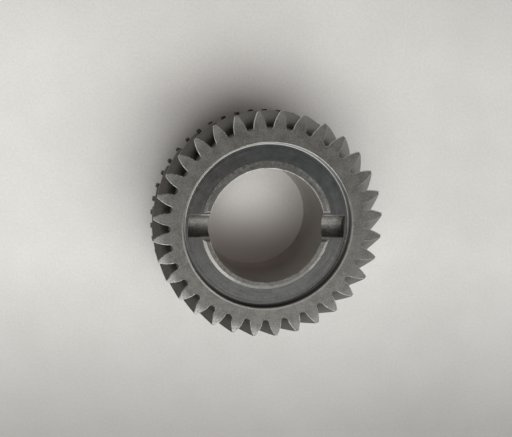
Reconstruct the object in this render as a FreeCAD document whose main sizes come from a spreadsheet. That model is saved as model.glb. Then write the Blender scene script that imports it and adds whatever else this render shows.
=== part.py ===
import FreeCAD, Part
import Sketcher
import math
import os

os.makedirs("parts", exist_ok=True)
doc = FreeCAD.newDocument("synchro_gear")

# ---------------------------------------------------------------------------
# Driving sizes, millimetres and degrees.  Z = 0 is the end face of the hub,
# +Z runs along the bore towards the toothed face with the recess.
# ---------------------------------------------------------------------------
SIZES = [
    ("overall_height", 33.0),
    ("face_width", 15.5),
    ("tooth_count", 32),
    ("tip_radius", 47.3),
    ("root_radius", 39.85),
    ("foot_radius", 41.3),
    ("pitch_radius", 43.8),
    ("pressure_angle", 19.8),
    ("tooth_thinning", 0.12),
    ("helix_angle", 34.7),
    ("tooth_phase", 6.87),
    ("end_chamfer", 0.3),
    ("flank_inset", 0.25),
    ("root_inset", 0.1),
    ("lower_chamfer", 0.5),
    ("bore_radius", 24.0),
    ("bore_chamfer", 0.25),
    ("hub_radius", 31.0),
    ("hub_chamfer", 1.0),
    ("recess_radius", 34.45),
    ("recess_depth", 2.7),
    ("recess_chamfer", 0.45),
    ("recess_corner", 0.8),
    ("lip_height", 0.7),
    ("lip_flat", 1.5),
    ("lip_slope", 1.3),
    ("lip_gap", 11.2),
    ("lip_runout", 0.9),
    ("lip_reach", 28.5),
    ("slot_radius", 4.75),
    ("slot_depth", 3.6),
    ("slot_reach", 32.5),
    ("slot_edge", 0.25),
    ("slot_corner", 0.5),
    ("dog_count", 50),
    ("dog_phase", 3.18),
    ("dog_tip_radius", 47.8),
    ("dog_root_radius", 45.2),
    ("dog_tip_width", 1.5),
    ("dog_root_width", 2.6),
    ("dog_thickness", 5.2),
    ("dog_point", 1.8),
    ("dog_ridge", 0.3),
    ("dog_sink", 0.4),
    ("land_radius", 37.5),
    ("land_height", 0.6),
    ("cone_radius", 41.2),
    ("cone_angle", 6.5),
    ("cone_undercut", 0.6),
    ("cone_gap", 1.2),
    ("cone_end", 2.0),
    ("cone_chamfer", 0.6),
    ("relief_outer", 37.0),
    ("relief_inner", 36.2),
    ("relief_depth", 3.0),
    ("weld_groove", 1.2),
    ("weld_spread", 0.35),
    ("weld_crown", 0.8),
    ("weld_arc", 1.6),
]

sheet = doc.addObject("Spreadsheet::Sheet", "Sizes")
for row, (alias, number) in enumerate(SIZES, start=1):
    sheet.set("A%d" % row, alias)
    sheet.set("B%d" % row, repr(number))
    sheet.setAlias("B%d" % row, alias)
doc.recompute()


class Size:
    """A number that also carries the sheet expression it comes from."""

    def __init__(self, value, text):
        self.value = value
        self.text = text

    @staticmethod
    def of(thing):
        if isinstance(thing, Size):
            return thing
        return Size(float(thing), "(%r)" % float(thing))

    def __add__(self, other):
        other = Size.of(other)
        return Size(self.value + other.value, "(%s + %s)" % (self.text, other.text))

    def __sub__(self, other):
        other = Size.of(other)
        return Size(self.value - other.value, "(%s - %s)" % (self.text, other.text))

    def __mul__(self, other):
        other = Size.of(other)
        return Size(self.value * other.value, "(%s * %s)" % (self.text, other.text))

    def __truediv__(self, other):
        other = Size.of(other)
        return Size(self.value / other.value, "(%s / %s)" % (self.text, other.text))

    def __neg__(self):
        return Size(-self.value, "(0 - %s)" % self.text)

    def half(self):
        return Size(self.value / 2.0, "(%s / 2)" % self.text)

    def root(self):
        return Size(math.sqrt(self.value), "sqrt(%s)" % self.text)

    def tan(self):
        return Size(math.tan(math.radians(self.value)), "tan(%s * 1deg)" % self.text)


def size(alias):
    return Size(float(sheet.get(alias)), "Sizes.%s" % alias)


def number(alias):
    return float(sheet.get(alias))


ZERO = Size(0.0, "0")
FULL_TURN = Size(2 * math.pi, "(2 * pi)")
# How far cutting outlines reach past the surface they cut.
MARGIN = 1.0


# ---------------------------------------------------------------------------
# Helpers
# ---------------------------------------------------------------------------
def new_body(label):
    body = doc.addObject("PartDesign::Body", label)
    body.Label = label
    doc.recompute()
    return body


def origin_part(body, role):
    return [item for item in body.Origin.OriginFeatures if item.Role == role][0]


def new_sketch(body, name, role, height=None):
    sketch = body.newObject("Sketcher::SketchObject", name)
    sketch.AttachmentSupport = [(origin_part(body, role), "")]
    sketch.MapMode = "FlatFace"
    if height is not None:
        sketch.AttachmentOffset = FreeCAD.Placement(
            FreeCAD.Vector(0, 0, height.value), FreeCAD.Rotation())
        sketch.setExpression("AttachmentOffset.Base.z", height.text)
    return sketch


def vector(point):
    return FreeCAD.Vector(point[0].value, point[1].value, 0)


def pin_vertex(sketch, geometry, position, point):
    """Ties one end of an edge to its sheet-driven coordinates."""
    for kind, coordinate in zip(("DistanceX", "DistanceY"), point):
        index = sketch.addConstraint(
            Sketcher.Constraint(kind, geometry, position, coordinate.value))
        if coordinate.text != "0":
            sketch.setExpression("Constraints[%d]" % index, coordinate.text)


def crown_point(start, end, radius):
    """Middle of the shorter arc from start to end, bulging to the right."""
    chord = end - start
    half_chord = chord.Length / 2.0
    rise = radius - math.sqrt(radius ** 2 - half_chord ** 2)
    right = FreeCAD.Vector(chord.y, -chord.x, 0).normalize()
    return (start + end) * 0.5 + right * rise


def draw_polygon(sketch, points, arcs=None):
    """Closed outline through the points.  arcs maps the index of a side to the
    radius with which it bulges to the right of its direction of travel."""
    arcs = arcs or {}
    count = len(points)
    for side in range(count):
        start = points[side]
        end = points[(side + 1) % count]
        if side in arcs:
            middle = crown_point(vector(start), vector(end), arcs[side].value)
            edge = Part.Arc(vector(start), middle, vector(end))
        else:
            edge = Part.LineSegment(vector(start), vector(end))
        sketch.addGeometry(edge, False)
    ends = {}
    for side in range(count):
        if side in arcs:
            geometry = sketch.Geometry[side]
            first = geometry.StartPoint.distanceToPoint(vector(points[side])) < 1e-6
            ends[side] = (1, 2) if first else (2, 1)
        else:
            ends[side] = (1, 2)
    for side in range(count):
        follower = (side + 1) % count
        sketch.addConstraint(Sketcher.Constraint(
            "Coincident", side, ends[side][1], follower, ends[follower][0]))
    for side in range(count):
        if side in arcs or (side - 1) % count in arcs:
            continue
        pin_vertex(sketch, side, ends[side][0], points[side])
    for side, radius in arcs.items():
        pin_vertex(sketch, side, ends[side][0], points[side])
        pin_vertex(sketch, side, ends[side][1], points[(side + 1) % count])
        index = sketch.addConstraint(Sketcher.Constraint("Radius", side, radius.value))
        sketch.setExpression("Constraints[%d]" % index, radius.text)


def draw_circle(sketch, radius):
    sketch.addGeometry(Part.Circle(
        FreeCAD.Vector(0, 0, 0), FreeCAD.Vector(0, 0, 1), radius.value), False)
    sketch.addConstraint(Sketcher.Constraint("Coincident", 0, 3, -1, 1))
    index = sketch.addConstraint(Sketcher.Constraint("Radius", 0, radius.value))
    sketch.setExpression("Constraints[%d]" % index, radius.text)


def turned(body, kind, name, points, arcs=None):
    """Full revolution (or groove) of an outline given as (radius, height)."""
    sketch = new_sketch(body, name + "_outline", "XZ_Plane")
    draw_polygon(sketch, points, arcs)
    doc.recompute()
    before = body.Shape.Volume if not body.Shape.isNull() else 0.0
    feature = body.newObject("PartDesign::" + kind, name)
    feature.Profile = sketch
    feature.ReferenceAxis = (sketch, ["V_Axis"])
    feature.Angle = 360.0
    doc.recompute()
    after = body.Shape.Volume
    grew = after > before
    if grew != (kind == "Revolution"):
        raise RuntimeError("%s changed the volume the wrong way" % name)
    return feature


def matching_edges(shape, test):
    """Names of the edges whose bounding box passes the test."""
    names = []
    for index, edge in enumerate(shape.Edges, start=1):
        if test(edge):
            names.append("Edge%d" % index)
    return names


def ring_edge(radius, height):
    """Test for a circle about the bore axis at this radius and height."""
    def test(edge):
        if not isinstance(edge.Curve, Part.Circle):
            return False
        centre = edge.Curve.Center
        on_axis = math.hypot(centre.x, centre.y) < 1e-3
        return (on_axis and abs(centre.z - height) < 1e-3
                and abs(edge.Curve.Radius - radius) < 1e-3)
    return test


def dressed(body, kind, name, test, amount):
    """Fillet or chamfer on the edges of the body's tip that pass the test."""
    base = body.Tip
    names = matching_edges(base.Shape, test)
    if not names:
        raise RuntimeError("no edge found for %s" % name)
    feature = body.newObject("PartDesign::" + kind, name)
    feature.Base = (base, names)
    prop = "Radius" if kind == "Fillet" else "Size"
    setattr(feature, prop, amount.value)
    feature.setExpression(prop, amount.text)
    doc.recompute()
    return feature


# ---------------------------------------------------------------------------
# Heights shared by the pieces
# ---------------------------------------------------------------------------
top = size("overall_height")
gear_bottom = top - size("face_width")
tooth_shoulder = top - size("end_chamfer")
floor = top - size("recess_depth")
lip_top = floor + size("lip_height")
dog_top = gear_bottom - size("land_height")
dog_bottom = dog_top - size("dog_thickness")
cone_start = dog_bottom - size("cone_gap")
cone_end = size("cone_end")
weld_face = cone_end + size("relief_depth")

# ---------------------------------------------------------------------------
# Involute helical teeth
# ---------------------------------------------------------------------------
FLANK_POINTS = 7
# The points crowd towards the foot of the flank, where the involute bends most.
FLANK_CROWDING = 1.5
TOOTH_COUNT = int(number("tooth_count"))
TOOTH_PITCH = 2 * math.pi / TOOTH_COUNT
BASE_RADIUS = number("pitch_radius") * math.cos(math.radians(number("pressure_angle")))
# Half the angle that a tooth spans on the pitch circle.  The thinning leaves room for
# backlash.
HALF_AT_PITCH = TOOTH_PITCH / 4 - number("tooth_thinning") / (2 * number("pitch_radius"))


def involute(radius):
    angle = math.acos(min(1.0, BASE_RADIUS / radius))
    return math.tan(angle) - angle


def half_tooth(radius):
    """Half the angle that a tooth spans at a radius in the transverse plane."""
    return HALF_AT_PITCH + involute(number("pitch_radius")) - involute(radius)


def polar(radius, angle):
    return FreeCAD.Vector(radius * math.cos(angle), radius * math.sin(angle), 0)


def draw_tooth_ring(sketch, phase, tip, root, inset):
    """Transverse section of the toothed wheel: per tooth a flank, the tip land,
    a flank and a rounded root.  inset narrows every tooth on both flanks."""
    narrowing = inset / BASE_RADIUS
    spread = [index / (FLANK_POINTS - 1.0) for index in range(FLANK_POINTS)]
    steps = [share ** FLANK_CROWDING for share in spread]
    foot = number("foot_radius")
    radii = [foot + (tip - foot) * step for step in steps]
    edges = []
    for tooth in range(TOOTH_COUNT):
        middle = phase + TOOTH_PITCH * tooth
        rising = [polar(r, middle - half_tooth(r) + narrowing) for r in radii]
        falling = [polar(r, middle + half_tooth(r) - narrowing) for r in reversed(radii)]
        next_foot = middle + TOOTH_PITCH - half_tooth(foot) + narrowing
        for points in (rising, falling):
            flank = Part.BSplineCurve()
            flank.interpolate(points)
            edges.append(flank)
            if points is rising:
                edges.append(Part.Arc(rising[-1], polar(tip, middle), falling[0]))
        edges.append(Part.Arc(falling[-1], polar(root, middle + TOOTH_PITCH / 2),
                              polar(foot, next_foot)))
    sketch.addGeometry(edges, False)


gear = new_body("helical_gear")

# The teeth are swept down from just under the top face along a right-hand helix.
phase = math.radians(number("tooth_phase"))
shoulder_sketch = new_sketch(gear, "tooth_section", "XY_Plane", tooth_shoulder)
draw_tooth_ring(shoulder_sketch, phase, number("tip_radius"),
                number("root_radius"), 0.0)
end_sketch = new_sketch(gear, "tooth_end_section", "XY_Plane", top)
draw_tooth_ring(end_sketch, phase, number("tip_radius") - number("flank_inset"),
                number("root_radius") - number("root_inset"), number("flank_inset"))
spine_sketch = new_sketch(gear, "sweep_line", "XZ_Plane")
spine_sketch.addGeometry(Part.LineSegment(
    vector((ZERO, tooth_shoulder)), vector((ZERO, gear_bottom))), False)
pin_vertex(spine_sketch, 0, 1, (ZERO, tooth_shoulder))
pin_vertex(spine_sketch, 0, 2, (ZERO, gear_bottom))

tooth_helix = doc.addObject("Part::Helix", "tooth_helix")
tooth_helix.Label = "tooth_helix"
lead = size("pitch_radius") * FULL_TURN / size("helix_angle").tan()
tooth_helix.Pitch = lead.value
tooth_helix.setExpression("Pitch", lead.text)
sweep_height = size("face_width") - size("end_chamfer")
tooth_helix.Height = sweep_height.value
tooth_helix.setExpression("Height", sweep_height.text)
tooth_helix.Radius = number("tip_radius")
tooth_helix.setExpression("Radius", "Sizes.tip_radius")
tooth_helix.Placement = FreeCAD.Placement(
    FreeCAD.Vector(0, 0, tooth_shoulder.value),
    FreeCAD.Rotation(FreeCAD.Vector(1, 0, 0), 180))
tooth_helix.setExpression("Placement.Base.z", tooth_shoulder.text)
doc.recompute()

teeth = gear.newObject("PartDesign::AdditivePipe", "teeth")
teeth.Profile = shoulder_sketch
teeth.Spine = (spine_sketch, ["Edge1"])
teeth.Mode = "Auxiliary"
teeth.AuxiliarySpine = (tooth_helix, ["Edge1"])
teeth.AuxiliaryCurvilinear = False
doc.recompute()

tooth_ends = gear.newObject("PartDesign::AdditiveLoft", "tooth_ends")
tooth_ends.Profile = end_sketch
tooth_ends.Sections = [shoulder_sketch]
tooth_ends.Ruled = True
doc.recompute()

# A turned chamfer breaks the tips at the lower end of the teeth.
chamfer_foot = size("tip_radius") - size("lower_chamfer")
turned(gear, "Groove", "lower_tip_chamfer", [
    (chamfer_foot, gear_bottom),
    (chamfer_foot, gear_bottom - MARGIN),
    (size("tip_radius") + MARGIN, gear_bottom - MARGIN),
    (size("tip_radius") + MARGIN, gear_bottom + size("lower_chamfer") + MARGIN),
])

# Hub that runs down through the clutch body.
hub_sketch = new_sketch(gear, "hub_circle", "XY_Plane")
draw_circle(hub_sketch, size("hub_radius"))
doc.recompute()
hub = gear.newObject("PartDesign::Pad", "hub")
hub.Profile = hub_sketch
hub_length = gear_bottom + MARGIN
hub.Length = hub_length.value
hub.setExpression("Length", hub_length.text)
doc.recompute()
dressed(gear, "Chamfer", "hub_end_chamfer",
        ring_edge(number("hub_radius"), 0.0), size("hub_chamfer"))

# Bore, raised lip and recess are one turned cut.
bore = size("bore_radius")
bore_chamfer = size("bore_chamfer")
recess = size("recess_radius")
recess_chamfer = size("recess_chamfer")
lip_outer = bore + bore_chamfer + size("lip_flat")
turned(gear, "Groove", "bore_and_recess", [
    (ZERO, ZERO - MARGIN),
    (bore + bore_chamfer + MARGIN, ZERO - MARGIN),
    (bore, bore_chamfer),
    (bore, lip_top - bore_chamfer),
    (bore + bore_chamfer, lip_top),
    (lip_outer, lip_top),
    (lip_outer + size("lip_slope"), floor),
    (recess, floor),
    (recess, top - recess_chamfer),
    (recess + recess_chamfer + MARGIN, top + MARGIN),
    (ZERO, top + MARGIN),
])
dressed(gear, "Fillet", "recess_corner_round",
        ring_edge(number("recess_radius"), floor.value), size("recess_corner"))


def cut_across(name, points, reach, arcs=None):
    """Straight cut along X through the axis, from -reach to +reach."""
    sketch = new_sketch(gear, name + "_section", "YZ_Plane")
    draw_polygon(sketch, points, arcs)
    doc.recompute()
    pocket = gear.newObject("PartDesign::Pocket", name)
    pocket.Profile = sketch
    pocket.SideType = "Symmetric"
    span = reach * 2
    pocket.Length = span.value
    pocket.setExpression("Length", span.text)
    doc.recompute()


# The lip runs out in a slope short of the slots on both sides.
gap_half = size("lip_gap").half()
runout_half = gap_half + size("lip_runout")
cut_across("lip_gaps", [
    (-runout_half, top + MARGIN),
    (-runout_half, lip_top),
    (-gap_half, floor),
    (gap_half, floor),
    (runout_half, lip_top),
    (runout_half, top + MARGIN),
], size("lip_reach"))

# Two half-round oil slots across the recess floor, open to the bore.
slot_radius = size("slot_radius")
slot_edge = size("slot_edge")
axis_height = slot_radius - size("slot_depth")
rise = axis_height + slot_edge
slot_half = (slot_radius * slot_radius - rise * rise).root()
cut_across("oil_slots", [
    (-(slot_half + slot_edge), top + MARGIN),
    (-(slot_half + slot_edge), floor),
    (-slot_half, floor - slot_edge),
    (slot_half, floor - slot_edge),
    (slot_half + slot_edge, floor),
    (slot_half + slot_edge, top + MARGIN),
], size("slot_reach"), arcs={2: slot_radius})


def slot_end_edge(edge):
    """Concave edge between a slot's end wall and its sides or bottom."""
    box = edge.BoundBox
    reach = number("slot_reach")
    at_end = abs(abs(box.XMin) - reach) < 1e-3 and abs(abs(box.XMax) - reach) < 1e-3
    below_floor = box.ZMax < floor.value - 0.5 * number("slot_edge")
    return at_end and below_floor


dressed(gear, "Fillet", "slot_end_round", slot_end_edge, size("slot_corner"))

# ---------------------------------------------------------------------------
# Clutch body: dog teeth and synchroniser cone, pressed on the hub
# ---------------------------------------------------------------------------
clutch = new_body("clutch_body")
hub_radius = size("hub_radius")
cone_radius = size("cone_radius")
weld_groove = size("weld_groove")
cone_drop = (cone_start - cone_end - size("cone_chamfer")) * size("cone_angle").tan()
cone_small = cone_radius - cone_drop
turned(clutch, "Revolution", "clutch_ring", [
    (hub_radius, weld_face + weld_groove),
    (hub_radius + weld_groove, weld_face),
    (size("relief_inner"), weld_face),
    (size("relief_outer"), cone_end),
    (cone_small - size("cone_chamfer"), cone_end),
    (cone_small, cone_end + size("cone_chamfer")),
    (cone_radius, cone_start),
    (cone_radius - size("cone_undercut"), cone_start),
    (cone_radius - size("cone_undercut"), dog_bottom),
    (size("dog_root_radius"), dog_bottom),
    (size("dog_root_radius"), dog_top),
    (size("land_radius"), dog_top),
    (size("land_radius"), gear_bottom),
    (hub_radius, gear_bottom),
])


def draw_dog_section(sketch, root_width, tip_width):
    inner = size("dog_root_radius") - size("dog_sink")
    draw_polygon(sketch, [
        (inner, -root_width.half()),
        (size("dog_tip_radius"), -tip_width.half()),
        (size("dog_tip_radius"), tip_width.half()),
        (inner, root_width.half()),
    ])


point_height = dog_bottom + size("dog_point")
dog_sketch = new_sketch(clutch, "dog_section", "XY_Plane", point_height)
draw_dog_section(dog_sketch, size("dog_root_width"), size("dog_tip_width"))
ridge_sketch = new_sketch(clutch, "dog_ridge_section", "XY_Plane", dog_bottom)
draw_dog_section(ridge_sketch, size("dog_ridge"), size("dog_ridge"))
doc.recompute()
dog_tooth = clutch.newObject("PartDesign::Pad", "dog_tooth")
dog_tooth.Profile = dog_sketch
dog_length = size("dog_thickness") - size("dog_point")
dog_tooth.Length = dog_length.value
dog_tooth.setExpression("Length", dog_length.text)
doc.recompute()
dog_point = clutch.newObject("PartDesign::AdditiveLoft", "dog_tooth_point")
dog_point.Profile = dog_sketch
dog_point.Sections = [ridge_sketch]
dog_point.Ruled = True
doc.recompute()
dog_ring = clutch.newObject("PartDesign::PolarPattern", "dog_teeth")
dog_ring.Originals = [dog_tooth, dog_point]
dog_ring.Axis = (origin_part(clutch, "Z_Axis"), [""])
dog_ring.Angle = 360.0
dog_ring.Occurrences = int(number("dog_count"))
dog_ring.setExpression("Occurrences", "Sizes.dog_count")
clutch.Tip = dog_ring
doc.recompute()
clutch.Placement = FreeCAD.Placement(
    FreeCAD.Vector(0, 0, 0),
    FreeCAD.Rotation(FreeCAD.Vector(0, 0, 1), number("dog_phase")))
clutch.setExpression("Placement.Rotation.Angle", "Sizes.dog_phase")

# ---------------------------------------------------------------------------
# Weld seam that closes the joint between hub and clutch body
# ---------------------------------------------------------------------------
weld = new_body("weld_bead")
weld_spread = size("weld_spread")
weld_low = weld_face - size("weld_crown")
weld_outer = hub_radius + weld_groove + weld_spread
turned(weld, "Revolution", "weld_ring", [
    (hub_radius, weld_face + weld_groove),
    (hub_radius, weld_low),
    (weld_outer, weld_face),
    (hub_radius + weld_groove, weld_face),
], arcs={1: size("weld_arc")})

# ---------------------------------------------------------------------------
# Checks and export
# ---------------------------------------------------------------------------
doc.recompute()
BODIES = [gear, clutch, weld]
for item in doc.Objects:
    if "Invalid" in item.State or "Error" in item.State:
        raise RuntimeError("%s is in state %s" % (item.Name, item.State))
for body in BODIES:
    shape = body.Shape
    if shape.isNull() or not shape.isValid() or len(shape.Solids) != 1:
        raise RuntimeError("%s has no single valid solid" % body.Label)
    box = shape.BoundBox
    print("%s volume %.1f box %.3f %.3f %.3f to %.3f %.3f %.3f faces %d" % (
        body.Label, shape.Volume, box.XMin, box.YMin, box.ZMin,
        box.XMax, box.YMax, box.ZMax, len(shape.Faces)))
    shape.exportStep("parts/%s.step" % body.Label)
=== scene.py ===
import bpy
import math
from mathutils import Matrix, Vector

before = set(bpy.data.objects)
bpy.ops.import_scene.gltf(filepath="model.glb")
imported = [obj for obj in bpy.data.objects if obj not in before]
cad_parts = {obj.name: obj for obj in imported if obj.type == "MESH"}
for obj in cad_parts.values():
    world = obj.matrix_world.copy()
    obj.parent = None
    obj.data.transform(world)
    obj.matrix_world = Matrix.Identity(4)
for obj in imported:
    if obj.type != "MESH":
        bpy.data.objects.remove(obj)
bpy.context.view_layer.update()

# Lengths are in metres. The origin is on the axis of the bore at the hub's end
# face, and +Z points to the recessed face. Angles round the gear are in degrees,
# anticlockwise from +X.

# ---------------------------------------------------------------- sizes of the gear
TIP_RADIUS = 0.0473
TOP = 0.033                # rim
FLOOR = 0.0303             # floor of the recess
LIP_TOP = 0.0310
BORE = 0.024
LIP_FOOT = 0.02705         # where the slope of the lip meets the floor
RECESS = 0.03445
ROOT = 0.0399
TOOTH_SHOULDER = 0.0327    # where the chamfer on the end of a tooth starts
GEAR_BOTTOM = 0.0175
RUNOUT_HALF = 0.0065       # half the width that the lip is cut away for a slot
DOG_ROOT = 0.0452
CONE = 0.0412
CONE_SMALL = 0.0399
CONE_START = 0.0105
GROOVE_RADIUS = 0.03272    # turned groove line on the floor of the recess

# ---------------------------------------------------------------- limits of the regions
FIT = 0.00004              # slack for a coordinate that should match a size
BORE_BAND = 0.0005         # bore wall with its lower chamfer
ROOT_BAND = 0.0003
CORNER_BAND = 0.0013       # rounded corner at the foot of the recess wall
EDGE_DEPTH = 0.0005        # chamfer between rim and recess
LIP_CHAMFER = 0.00045
SLOT_DEPTH = 0.004
SLOT_EDGE_DEPTH = 0.0003
DOG_BAND = 0.0006
SIDE_SLACK = 0.02          # z of a normal that counts as level
UPRIGHT = 0.2              # largest z of the normal of an upright wall
SLOPED = 0.3               # smallest z of the normal of a chamfer
NEARLY_FLAT = 0.95         # largest z of the normal of a chamfer
CONE_TILT = 0.5            # largest z of the normal of the cone

# ---------------------------------------------------------------- camera
FOCAL_PX = 600.0
FRAME_W = 512
CENTRE_PX = 150.0
SENSOR_MM = 36.0
PITCH, YAW, ROLL = 0.1829, 0.0292, math.radians(-0.45)
EYE_OFFSET = Vector((1.0229, -0.0780, -5.2027)) * TIP_RADIUS


def make_camera():
    turn = (Matrix.Rotation(PITCH, 3, "X") @ Matrix.Rotation(YAW, 3, "Y")
            @ Matrix.Rotation(ROLL, 3, "Z"))
    back = turn.transposed()
    place = -(back @ EYE_OFFSET) + Vector((0, 0, TOP))
    data = bpy.data.cameras.new("photo_camera")
    data.sensor_width = SENSOR_MM
    data.lens = FOCAL_PX / FRAME_W * SENSOR_MM
    data.shift_x = (FRAME_W / 2 - CENTRE_PX) / FRAME_W
    data.clip_start = 0.01
    data.clip_end = 20.0
    camera = bpy.data.objects.new("photo_camera", data)
    bpy.context.scene.collection.objects.link(camera)
    camera.matrix_world = Matrix.Translation(place) @ back.to_4x4()
    bpy.context.scene.camera = camera


# ---------------------------------------------------------------- light
# EDGE and CORE are cosines of the angle to the axis: a lobe starts at the first
# and is whole at the second.
WINDOW_AXIS = (0.22, -0.64, 0.74)
WINDOW_EDGE, WINDOW_CORE = 0.35, 0.97
WINDOW_GAIN = 3.5
WINDOW_COLOUR = (1.0, 0.995, 0.97)
CEILING_AXIS = (0.05, -0.05, 1.0)
CEILING_EDGE, CEILING_CORE = 0.80, 0.94
CEILING_SHADE = 0.38
BEAM_AXIS = (0.0, 0.98, 0.196)
BEAM_EDGE, BEAM_CORE = -0.035, 0.035
BEAM_SHADE = 0.38
ROOM_COLOUR = (1.0, 0.88, 0.855)
ROOM_GAIN = 0.15

# ---------------------------------------------------------------- colours, linear
SHADE_BLACK = (0.02, 0.02, 0.02)
GROOVE_BLACK = (0.01, 0.01, 0.01)
# painted shade colour for the upper-right tooth-end chamfers and the bottom of the lip
# slope
PAINTED_SHADE_GREY = (0.10, 0.10, 0.095)
# rubbed steel colour; on the lower-left tooth tips and on the recess-edge chamfer it is
# also a painted highlight
WEAR_AND_HIGHLIGHT_GREY = (0.42, 0.42, 0.40)
RIM_GREY = (0.118, 0.118, 0.111)
RIM_SPOT = (0.20, 0.20, 0.19)
# rubbed rim colour, also a painted highlight line towards the bottom and lower left
RIM_RUBBED_HIGHLIGHT = (0.27, 0.27, 0.256)
RECESS_GREY = (0.086, 0.087, 0.085)
RECESS_SPOT = (0.17, 0.17, 0.165)
RECESS_COOL = (0.07, 0.09, 0.095)
RECESS_EDGE_SHADE = (0.07, 0.07, 0.066)
WALL_GREY = (0.24, 0.24, 0.23)
WALL_SHADOW = (0.11, 0.11, 0.105)
FLANK_GREY = (0.105, 0.098, 0.09)
EDGE_BRIGHT = (0.70, 0.70, 0.665)
LEFT_EDGE_GREY = (0.30, 0.30, 0.285)
LEFT_EDGE_HIGHLIGHT = (0.9, 0.9, 0.86)
RIGHT_EDGE_GREY = (0.26, 0.26, 0.25)
LIP_GREY = (0.11, 0.11, 0.106)
LIP_SIDE_GREY = (0.22, 0.22, 0.21)
LIP_SIDE_SPOT = (0.40, 0.395, 0.375)
LIP_SIDE_HIGHLIGHT = (0.46, 0.455, 0.43)
RUNOUT_GREY = (0.12, 0.12, 0.115)
BORE_GREY = (0.36, 0.345, 0.325)
# painted bounce light from the paper on the lower bore wall
BORE_BOUNCE_LIGHT = (0.76, 0.70, 0.665)
SLOT_GREY = (0.175, 0.171, 0.162)
SLOT_SHADE = (0.06, 0.058, 0.055)
SLOT_EDGE_GREY = (0.55, 0.52, 0.50)
SLOT_EDGE_SHADE = (0.14, 0.136, 0.13)
DOG_GREY = (0.085, 0.08, 0.074)
CONE_GREY = (0.16, 0.155, 0.147)
CLUTCH_GREY = (0.11, 0.104, 0.096)
CLUTCH_STAIN = (0.13, 0.095, 0.06)
HEAT_STRAW = (0.15, 0.105, 0.06)
HEAT_GREY = (0.13, 0.12, 0.11)
HEAT_BLUE = (0.08, 0.095, 0.14)
PAPER_DARK = (0.625, 0.622, 0.605)
PAPER_LIGHT = (0.72, 0.716, 0.70)
PAPER_LIT = (0.92, 0.915, 0.895)
# painted warm bounce light on the paper at the bottom of the bore
PAPER_WARM_BOUNCE = (0.60, 0.535, 0.51)

# ---------------------------------------------------------------- steel finish
COAT_ROUGH = 0.4
PATCH_SHARE, GRAIN_SHARE = 0.4, 0.6
TONE_DARK, TONE_MIDDLE, TONE_LIGHT = 0.36, 0.5, 0.64
NOISE_LOW, NOISE_HIGH = 0.3, 0.7      # usual range of a noise value
ROUGH_SPREAD = 0.05
ARC_RATE = 2.5                        # change of a turned ring along its length
PAPER_SIZE = 6.0


class Nodes:
    """Thin wrapper that builds one node material."""

    def __init__(self, name):
        self.material = bpy.data.materials.new(name)
        self.material.use_nodes = True
        self.tree = self.material.node_tree
        self.tree.nodes.clear()
        self.output = self.tree.nodes.new("ShaderNodeOutputMaterial")
        self.place = self.add("TexCoord").outputs["Object"]

    def plug(self, socket, value):
        if isinstance(value, bpy.types.NodeSocket):
            self.tree.links.new(value, socket)
        else:
            socket.default_value = value

    def add(self, kind, settings=None, inputs=None):
        node = self.tree.nodes.new("ShaderNode" + kind)
        for key, value in (settings or {}).items():
            setattr(node, key, value)
        for key, value in (inputs or {}).items():
            self.plug(node.inputs[key], value)
        return node

    def math(self, operation, a, b=0.0, c=0.0):
        node = self.add("Math", {"operation": operation})
        for socket, value in zip(node.inputs, (a, b, c)):
            self.plug(socket, value)
        return node.outputs[0]

    def noise(self, vector, scale, detail=3.0, roughness=0.55):
        return self.add("TexNoise", None, {
            "Vector": vector, "Scale": scale, "Detail": detail,
            "Roughness": roughness}).outputs["Fac"]

    def span(self, value, low, high, out_low=0.0, out_high=1.0, smooth=False):
        node = self.add("MapRange", {
            "clamp": True, "interpolation_type": "SMOOTHSTEP" if smooth else "LINEAR"})
        for socket, number in zip(node.inputs, (value, low, high, out_low, out_high)):
            self.plug(socket, number)
        return node.outputs[0]

    def split(self):
        axes = self.add("SeparateXYZ", None, {0: self.place})
        return axes.outputs[0], axes.outputs[1], axes.outputs[2]

    def radius(self):
        x, y, _ = self.split()
        return self.math("SQRT", self.math("ADD", self.math("MULTIPLY", x, x),
                                           self.math("MULTIPLY", y, y)))

    def ramp(self, value, stops):
        node = self.add("ValToRGB", None, {0: value})
        elements = node.color_ramp.elements
        elements[0].position, elements[0].color = stops[0][0], (*stops[0][1], 1)
        elements[1].position, elements[1].color = stops[-1][0], (*stops[-1][1], 1)
        for position, colour in stops[1:-1]:
            elements.new(position).color = (*colour, 1)
        return node.outputs[0]

    def blend(self, factor, first, second, mode="MIX"):
        node = self.add("Mix", {"data_type": "RGBA", "blend_type": mode})
        self.plug(node.inputs[0], factor)
        for socket, value in ((node.inputs[6], first), (node.inputs[7], second)):
            self.plug(socket, (*value, 1) if isinstance(value, tuple) else value)
        return node.outputs[2]

    def bump(self, height, distance, strength=1.0, normal=None):
        node = self.add("Bump", None, {
            "Height": height, "Distance": distance, "Strength": strength})
        if normal is not None:
            self.plug(node.inputs["Normal"], normal)
        return node.outputs[0]

    def metal(self, colour, rough, normal=None, metallic=1.0, aniso=0.0, coat=0.0):
        shader = self.add("BsdfPrincipled", None, {
            "Base Color": colour, "Roughness": rough, "Metallic": metallic,
            "Anisotropic": aniso, "Coat Weight": coat, "Coat Roughness": COAT_ROUGH})
        if aniso:
            tangent = self.add("Tangent", {"direction_type": "RADIAL", "axis": "Z"})
            self.plug(shader.inputs["Tangent"], tangent.outputs[0])
        if normal is not None:
            self.plug(shader.inputs["Normal"], normal)
        self.plug(self.output.inputs["Surface"], shader.outputs[0])
        return self.material


def scaled(colour, gain):
    """Colour with every channel multiplied."""
    return tuple(channel * gain for channel in colour)


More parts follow.
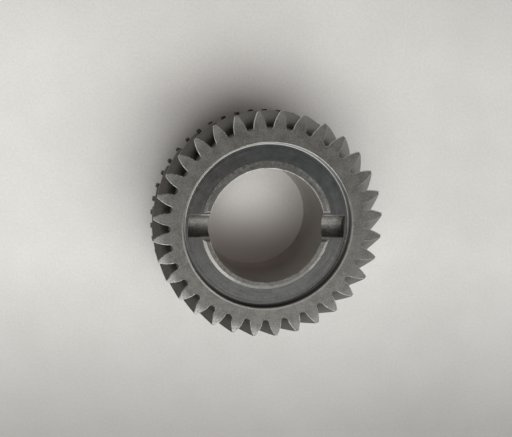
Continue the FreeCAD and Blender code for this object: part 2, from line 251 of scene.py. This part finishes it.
def mottled(name, base, rough, grain=1500.0, patch=260.0, contrast=0.16, bump=0.000012,
            rings=0.0, ring_rate=5200.0, metallic=1.0, aniso=0.0, tint=None, coat=0.0):
    """Machined steel: soft patches, fine grain, and turned rings if rings > 0."""
    n = Nodes(name)
    patches = n.noise(n.place, patch, 4.0, 0.6)
    fine = n.noise(n.place, grain, 3.0, 0.6)
    tone = n.math("ADD", n.math("MULTIPLY", patches, PATCH_SHARE),
                  n.math("MULTIPLY", fine, GRAIN_SHARE))
    height = fine
    if rings:
        radius = n.radius()
        x, y, z = n.split()
        track = n.add("CombineXYZ", None, {
            0: n.math("MULTIPLY", radius, ring_rate),
            1: n.math("MULTIPLY", z, ring_rate),
            2: n.math("MULTIPLY", n.math("ARCTAN2", y, x), ARC_RATE)}).outputs[0]
        turned = n.noise(track, 1.0, 2.0, 0.6)
        height = n.math("ADD", n.math("MULTIPLY", fine, 1 - rings),
                        n.math("MULTIPLY", turned, rings))
        tone = n.math("ADD", n.math("MULTIPLY", tone, 1 - rings),
                      n.math("MULTIPLY", turned, rings))
    dark, light = scaled(base, 1 - contrast), scaled(base, 1 + contrast)
    colour = n.ramp(tone, [(TONE_DARK, dark), (TONE_MIDDLE, base), (TONE_LIGHT, light)])
    if tint:
        colour = tint(n, colour)
    roughness = n.span(patches, NOISE_LOW, NOISE_HIGH,
                       rough - ROUGH_SPREAD, rough + ROUGH_SPREAD)
    return n.metal(colour, roughness, n.bump(height, bump), metallic, aniso, coat)


def ring_lines(radii, width, shade):
    """Tint that darkens narrow turned grooves at the given radii."""
    def tint(n, colour):
        radius = n.radius()
        for line in radii:
            gap = n.math("ABSOLUTE", n.math("SUBTRACT", radius, line))
            share = n.span(gap, width * 0.3, width, shade, 0.0, True)
            colour = n.blend(share, colour, GROOVE_BLACK)
        return colour
    return tint


def smudges(scale, low, high, colour_to, share):
    """Tint with sparse soft patches of another colour."""
    def tint(n, colour):
        mask = n.span(n.noise(n.place, scale, 5.0, 0.65), low, high, 0.0, share, True)
        return n.blend(mask, colour, colour_to)
    return tint


def both(*tints):
    """Tint that applies several tints in turn."""
    def tint(n, colour):
        for one in tints:
            colour = one(n, colour)
        return colour
    return tint


def toward(n, angle):
    """Distance from the axis towards an angle, in metres."""
    x, y, _ = n.split()
    return n.math("ADD", n.math("MULTIPLY", x, math.cos(math.radians(angle))),
                  n.math("MULTIPLY", y, math.sin(math.radians(angle))))


def sector_fade(angle, share, colour_to, start=0.0, end=0.036):
    """Tint that fades to another colour on one side of the gear."""
    def tint(n, colour):
        mask = n.span(toward(n, angle), start, end, 0.0, share, True)
        return n.blend(mask, colour, colour_to)
    return tint


def radius_fade(start, end, colour_to):
    """Tint that fades to another colour away from the axis."""
    def tint(n, colour):
        return n.blend(n.span(n.radius(), start, end, 0.0, 1.0, True), colour, colour_to)
    return tint


def tip_wear_and_highlight(n, colour):
    """Brighter, rubbed steel specks towards the tips, with painted highlight: strongest on
    the lower-left side and fading away towards the upper right.
    """
    painted_highlight_side = n.span(toward(n, 228.0), low=0.026, high=0.044,
                         out_low=0.24, out_high=0.9, smooth=True)
    painted_highlight_fade = n.span(toward(n, 20.0), low=0.020, high=0.044,
                         out_low=1.0, out_high=0.1, smooth=True)
    side = n.math("MULTIPLY", painted_highlight_side, painted_highlight_fade)
    reach = n.span(n.radius(), low=0.0418, high=0.0462, smooth=True)
    specks = n.noise(n.place, scale=1300.0, detail=4.0, roughness=0.7)
    rubbed = n.span(specks, low=0.40, high=0.60, out_low=0.3)
    share = n.math("MULTIPLY", n.math("MULTIPLY", side, reach), rubbed)
    return n.blend(share, colour, WEAR_AND_HIGHLIGHT_GREY)


def rim_ring_wear_and_highlight(n, colour):
    """Thin rubbed line of specks on the rim just outside the recess edge, shown only
    towards the bottom and lower left as a painted highlight.
    """
    ring = n.span(n.radius(), low=0.0353, high=0.0356,
                  out_low=1.0, out_high=0.0, smooth=True)
    side = n.span(toward(n, 285.0), low=-0.012, high=0.012, out_high=0.5, smooth=True)
    strong = n.span(toward(n, 207.0), low=0.024, high=0.034, out_high=0.5, smooth=True)
    specks = n.noise(n.place, scale=900.0, detail=3.0, roughness=0.6)
    rubbed = n.span(specks, low=0.35, high=0.6, out_low=0.6)
    share = n.math("MULTIPLY", n.math("MULTIPLY", ring, rubbed),
                   n.math("ADD", side, strong))
    return n.blend(share, colour, RIM_RUBBED_HIGHLIGHT)


def inner_lip_painted_shade(n, colour):
    """Painted shade on the inner part of the recess-edge chamfer, so only its outer part
    stays bright.
    """
    inner = n.span(n.radius(), low=0.03458, high=0.03470,
                   out_low=0.8, out_high=0.0, smooth=True)
    return n.blend(inner, colour, RECESS_EDGE_SHADE)


def paper_bounce_light(n, colour):
    """Painted bounce light from the paper: the bore wall lightens towards the end that
    stands on the paper, most of all on the lower-left side.
    """
    z = n.split()[2]
    height = n.span(z, low=0.0, high=0.014, out_low=1.0, out_high=0.0, smooth=True)
    side = n.span(toward(n, 235.0), low=-0.006, high=0.016,
                  out_low=0.35, out_high=0.9, smooth=True)
    return n.blend(n.math("MULTIPLY", height, side), colour, BORE_BOUNCE_LIGHT)


def weld_metal():
    """Rippled weld bead with straw and blue heat colours."""
    n = Nodes("weld_metal")
    x, y, _ = n.split()
    wobble = n.noise(n.place, scale=600.0, detail=3.0, roughness=0.6)
    turn = n.math("MULTIPLY", n.math("ARCTAN2", y, x), 220.0)
    ripple = n.math("SINE", n.math("ADD", turn, n.math("MULTIPLY", wobble, 5.0)))
    heat = n.noise(n.place, scale=160.0, detail=4.0, roughness=0.6)
    colour = n.ramp(heat, [(0.38, HEAT_STRAW), (0.5, HEAT_GREY), (0.62, HEAT_BLUE)])
    rough = n.span(wobble, NOISE_LOW, NOISE_HIGH, out_low=0.3, out_high=0.5)
    return n.metal(colour, rough, n.bump(ripple, distance=0.00003))


def room_light():
    """Soft window as a wide lobe of light, dark overhead, dim warm room behind."""
    world = bpy.data.worlds.new("room")
    bpy.context.scene.world = world
    world.use_nodes = True
    tree = world.node_tree
    tree.nodes.clear()
    output = tree.nodes.new("ShaderNodeOutputWorld")
    direction = tree.nodes.new("ShaderNodeTexCoord").outputs["Generated"]

    def lobe(axis, low, high, low_value, high_value):
        dot = tree.nodes.new("ShaderNodeVectorMath")
        dot.operation = "DOT_PRODUCT"
        dot.inputs[1].default_value = Vector(axis).normalized()
        tree.links.new(direction, dot.inputs[0])
        share = tree.nodes.new("ShaderNodeMapRange")
        share.interpolation_type = "SMOOTHSTEP"
        for socket, number in zip(share.inputs[1:5], (low, high, low_value, high_value)):
            socket.default_value = number
        tree.links.new(dot.outputs["Value"], share.inputs[0])
        return share.outputs[0]

    def multiplied(first, second):
        node = tree.nodes.new("ShaderNodeMath")
        node.operation = "MULTIPLY"
        tree.links.new(first, node.inputs[0])
        tree.links.new(second, node.inputs[1])
        return node.outputs[0]

    window = lobe(WINDOW_AXIS, WINDOW_EDGE, WINDOW_CORE, 0.0, WINDOW_GAIN)
    ceiling = lobe(CEILING_AXIS, CEILING_EDGE, CEILING_CORE, 1.0, CEILING_SHADE)
    beam = lobe(BEAM_AXIS, BEAM_EDGE, BEAM_CORE, 1.0, BEAM_SHADE)
    product = multiplied(multiplied(window, ceiling), beam)
    glow = tree.nodes.new("ShaderNodeBackground")
    glow.inputs[0].default_value = (*WINDOW_COLOUR, 1)
    tree.links.new(product, glow.inputs[1])
    room = tree.nodes.new("ShaderNodeBackground")
    room.inputs[0].default_value = (*ROOM_COLOUR, 1)
    room.inputs[1].default_value = ROOM_GAIN
    total = tree.nodes.new("ShaderNodeAddShader")
    tree.links.new(glow.outputs[0], total.inputs[0])
    tree.links.new(room.outputs[0], total.inputs[1])
    tree.links.new(total.outputs[0], output.inputs[0])


# ---------------------------------------------------------------- gear regions
def near(value, target, slack=FIT):
    """True if the value is the target, within the slack."""
    return abs(value - target) < slack


def faces_left(corners, normal):
    """True on the anticlockwise side of a tooth."""
    middle = sum(corners, Vector()) / len(corners)
    return normal.y * middle.x > normal.x * middle.y


def gear_region(corners, normal):
    """Name of the machined surface that a face of the gear belongs to."""
    low = min(c.z for c in corners)
    high = max(c.z for c in corners)
    inner = min(math.hypot(c.x, c.y) for c in corners)
    outer = max(math.hypot(c.x, c.y) for c in corners)
    if near(low, TOP):
        return "rim"
    if low < GEAR_BOTTOM + FIT:
        bore_wall = outer < BORE + BORE_BAND and high > GEAR_BOTTOM
        return "bore" if bore_wall or outer < BORE + FIT else "under"
    if inner > ROOT - ROOT_BAND:
        if low < TOOTH_SHOULDER - FIT:
            return "flank"
        return "left_edge" if faces_left(corners, normal) else "right_edge"
    if near(low, FLOOR) and near(high, FLOOR):
        return "recess"
    if near(low, LIP_TOP) and near(high, LIP_TOP):
        return "lip"
    if inner > RECESS - CORNER_BAND and low > FLOOR - FIT:
        chamfer = normal.z > SLOPED and low > TOP - EDGE_DEPTH
        return "recess_edge" if chamfer else "recess_wall"
    if outer < BORE + LIP_CHAMFER and low > FLOOR - SLOT_DEPTH:
        return "bore" if abs(normal.z) < UPRIGHT else "lip_edge"
    if outer < LIP_FOOT + FIT and low > FLOOR - FIT:
        runout = max(abs(c.y) for c in corners) < RUNOUT_HALF + FIT
        return "runout" if runout else "lip_side"
    if low > FLOOR - SLOT_EDGE_DEPTH and SLOPED < normal.z < NEARLY_FLAT:
        return "slot_edge"
    return "slot"


def clutch_region(corners, normal):
    """Dog teeth, synchroniser cone, or one of the turned faces."""
    inner = min(math.hypot(c.x, c.y) for c in corners)
    side_wall = near(normal.z, 0.0, SIDE_SLACK)
    if inner > DOG_ROOT - DOG_BAND or side_wall and inner > CONE:
        return "dog"
    high = max(c.z for c in corners)
    if high < CONE_START + FIT and inner > CONE_SMALL and abs(normal.z) < CONE_TILT:
        return "cone"
    return "face"


def weld_region(corners, normal):
    """The weld bead is all one surface."""
    return "bead"


def split_by_region(piece, region_of, regions):
    """Gives each face of the piece the material of its region."""
    mesh = piece.data
    mesh.materials.clear()
    names = list(regions)
    for name in names:
        mesh.materials.append(regions[name])
    for face in mesh.polygons:
        corners = [mesh.vertices[index].co for index in face.vertices]
        face.material_index = names.index(region_of(corners, face.normal))


def gear_materials():
    """One steel finish for each region of the gear."""
    flank = mottled("flank_steel", FLANK_GREY, rough=0.46, contrast=0.3, coat=0.6)
    edge_wear = smudges(scale=1300.0, low=0.45, high=0.60,
                        colour_to=EDGE_BRIGHT, share=0.85)
    return {
        "rim": mottled(
            "rim_steel", RIM_GREY, rough=0.5, contrast=0.37, bump=0.000015,
            grain=2100.0, patch=250.0,
            tint=both(smudges(scale=330.0, low=0.60, high=0.74,
                              colour_to=RIM_SPOT, share=0.3),
                      tip_wear_and_highlight,
                      # painted shade: the rim darkens towards the upper right
                      sector_fade(angle=25.0, share=0.13, colour_to=SHADE_BLACK),
                      rim_ring_wear_and_highlight)),
        "recess": mottled(
            "turned_recess", RECESS_GREY, rough=0.2, contrast=0.38, rings=0.5,
            bump=0.000008,
            tint=both(ring_lines(radii=(GROOVE_RADIUS,), width=0.00013, shade=0.6),
                      smudges(scale=190.0, low=0.62, high=0.75,
                              colour_to=RECESS_SPOT, share=0.45),
                      sector_fade(angle=60.0, share=0.35, colour_to=RECESS_COOL,
                                  start=0.008, end=0.032))),
        "flank": flank,
        "left_edge": mottled(
            "left_edge_steel", LEFT_EDGE_GREY, rough=0.5, contrast=0.6, grain=900.0,
            metallic=0.2,
            # painted highlight: the left tooth-end chamfers turn near white towards the
            # upper right
            tint=both(sector_fade(angle=50.0, share=0.8, colour_to=LEFT_EDGE_HIGHLIGHT,
                                  start=0.01),
                      edge_wear)),
        "right_edge": mottled(
            "right_edge_steel", RIGHT_EDGE_GREY, rough=0.5, contrast=0.6, grain=900.0,
            metallic=0.3,
            tint=both(edge_wear,
                      # painted shade: the right tooth-end chamfers darken towards the upper
                      # right
                      sector_fade(angle=40.0, share=0.85, colour_to=PAINTED_SHADE_GREY))),
        "slot_edge": mottled(
            "slot_edge_steel", SLOT_EDGE_GREY, rough=0.45, contrast=0.4, metallic=0.4,
            # painted highlight: the light edge colour stays only near the bore of the left
            # slot; it fades to painted shade further out and on the right slot
            tint=both(radius_fade(start=0.025, end=0.0295, colour_to=SLOT_EDGE_SHADE),
                      sector_fade(angle=0.0, share=0.55, colour_to=SLOT_EDGE_SHADE,
                                  start=0.0, end=0.024))),
        "runout": mottled("lip_runout_steel", RUNOUT_GREY, rough=0.55, metallic=0.1),
        # brighter chamfer colour, partly a painted highlight line, with painted shade on
        # its inner part
        "recess_edge": mottled(
            "recess_edge_steel", WEAR_AND_HIGHLIGHT_GREY, rough=0.36, contrast=0.3, metallic=0.8,
            tint=inner_lip_painted_shade),
        "recess_wall": mottled(
            "recess_wall_steel", WALL_GREY, rough=0.5, rings=0.4, metallic=0.7,
            # painted shadow in the recess corner, on the lower-left side
            tint=sector_fade(angle=235.0, share=0.85, colour_to=WALL_SHADOW,
                             start=0.012, end=0.030)),
        "lip": mottled("lip_steel", LIP_GREY, rough=0.34, rings=0.3, contrast=0.5),
        "lip_edge": mottled("lip_edge_steel", WEAR_AND_HIGHLIGHT_GREY, rough=0.6, contrast=0.6,
                            grain=900.0, metallic=0.6),
        "lip_side": mottled(
            "lip_side_steel", LIP_SIDE_GREY, rough=0.5, contrast=0.5, grain=1100.0,
            patch=420.0, bump=0.00003, metallic=0.5,
            tint=both(smudges(scale=700.0, low=0.5, high=0.64,
                              colour_to=LIP_SIDE_SPOT, share=0.8),
                      # painted highlight on the lower-left side of the lip slope, and
                      # painted shade towards its bottom
                      sector_fade(angle=207.0, share=0.5, colour_to=LIP_SIDE_HIGHLIGHT,
                                  start=0.019, end=0.026),
                      sector_fade(angle=280.0, share=0.75, colour_to=PAINTED_SHADE_GREY,
                                  start=0.015, end=0.0262))),
        # painted bounce light from the paper on the lower bore wall
        "bore": mottled("bore_steel", BORE_GREY, rough=0.4, rings=0.4, tint=paper_bounce_light),
        "slot": mottled(
            "milled_slot_steel", SLOT_GREY, rough=0.56, contrast=0.5, grain=1500.0,
            bump=0.00008,
            # painted shade: the left slot is darker than the right one
            tint=sector_fade(angle=180.0, share=0.3, colour_to=SLOT_SHADE,
                             start=0.0, end=0.028)),
        "under": flank}


def clutch_materials():
    """Finishes of the clutch body: dog teeth, cone, and the turned faces."""
    return {
        "dog": mottled("dog_teeth_steel", DOG_GREY, rough=0.45, contrast=0.35),
        "cone": mottled("cone_steel", CONE_GREY, rough=0.32, contrast=0.35, rings=0.8,
                        ring_rate=7000.0, bump=0.00002),
        "face": mottled(
            "clutch_face_steel", CLUTCH_GREY, rough=0.42, contrast=0.4, rings=0.5,
            bump=0.000015,
            tint=smudges(scale=240.0, low=0.52, high=0.68,
                         colour_to=CLUTCH_STAIN, share=0.5))}


def paper_material():
    """Pale paper with painted shade at the front, back and right, a painted pool of light
    inside the bore, painted shade near the bore wall, and painted warm bounce light at the
    bottom of the bore.
    """
    n = Nodes("paper")
    fibres = n.noise(n.place, scale=900.0, detail=4.0, roughness=0.75)
    blotch = n.noise(n.place, scale=45.0, detail=4.0, roughness=0.6)
    tone = n.math("ADD", n.math("MULTIPLY", fibres, 0.7), n.math("MULTIPLY", blotch, 0.3))
    sheet = n.ramp(tone, [(0.35, PAPER_DARK), (0.65, PAPER_LIGHT)])
    x, y, _ = n.split()
    # painted shade on the paper at the front, back and right
    front = n.span(y, low=-0.11, high=-0.02, out_low=0.45, out_high=0.0)
    back = n.span(y, low=0.06, high=0.105, out_high=0.1, smooth=True)
    right = n.math("MULTIPLY",
                   n.span(x, low=0.02, high=0.1, out_high=0.155, smooth=True),
                   n.span(y, low=-0.06, high=0.0, out_low=0.4))
    falloff = n.math("ADD", n.math("ADD", front, back), right)
    radius = n.radius()
    # painted pool of light on the paper inside the bore, and painted shade towards the bore
    # wall
    well_lit = n.span(radius, low=0.004, high=0.019,
                      out_low=0.42, out_high=0.0, smooth=True)
    well_edge_shade = n.math("MULTIPLY", n.span(radius, low=0.013, high=0.024, out_high=0.2),
                       n.span(radius, low=0.026, high=0.04, out_low=1.0, out_high=0.0))
    lit = n.blend(well_lit, sheet, PAPER_LIT)
    shaded = n.blend(n.math("ADD", falloff, well_edge_shade), lit, SHADE_BLACK)
    # painted warm bounce light on the paper at the bottom of the bore
    warm = n.math("MULTIPLY",
                  n.span(y, low=0.004, high=-0.014, out_high=0.6, smooth=True),
                  n.span(radius, low=0.026, high=0.03, out_low=1.0, out_high=0.0))
    colour = n.blend(warm, shaded, PAPER_WARM_BOUNCE)
    return n.metal(colour, rough=0.9, normal=n.bump(fibres, distance=0.00003), metallic=0.0)


make_camera()
bpy.context.scene.view_settings.view_transform = "Standard"

split_by_region(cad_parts["helical_gear"], gear_region, gear_materials())
split_by_region(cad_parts["clutch_body"], clutch_region, clutch_materials())
split_by_region(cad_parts["weld_bead"], weld_region, {"bead": weld_metal()})

bpy.ops.mesh.primitive_plane_add(size=PAPER_SIZE, location=(0, 0, -FIT))
floor = bpy.context.object
floor.name = "paper"
floor.data.materials.append(paper_material())

room_light()
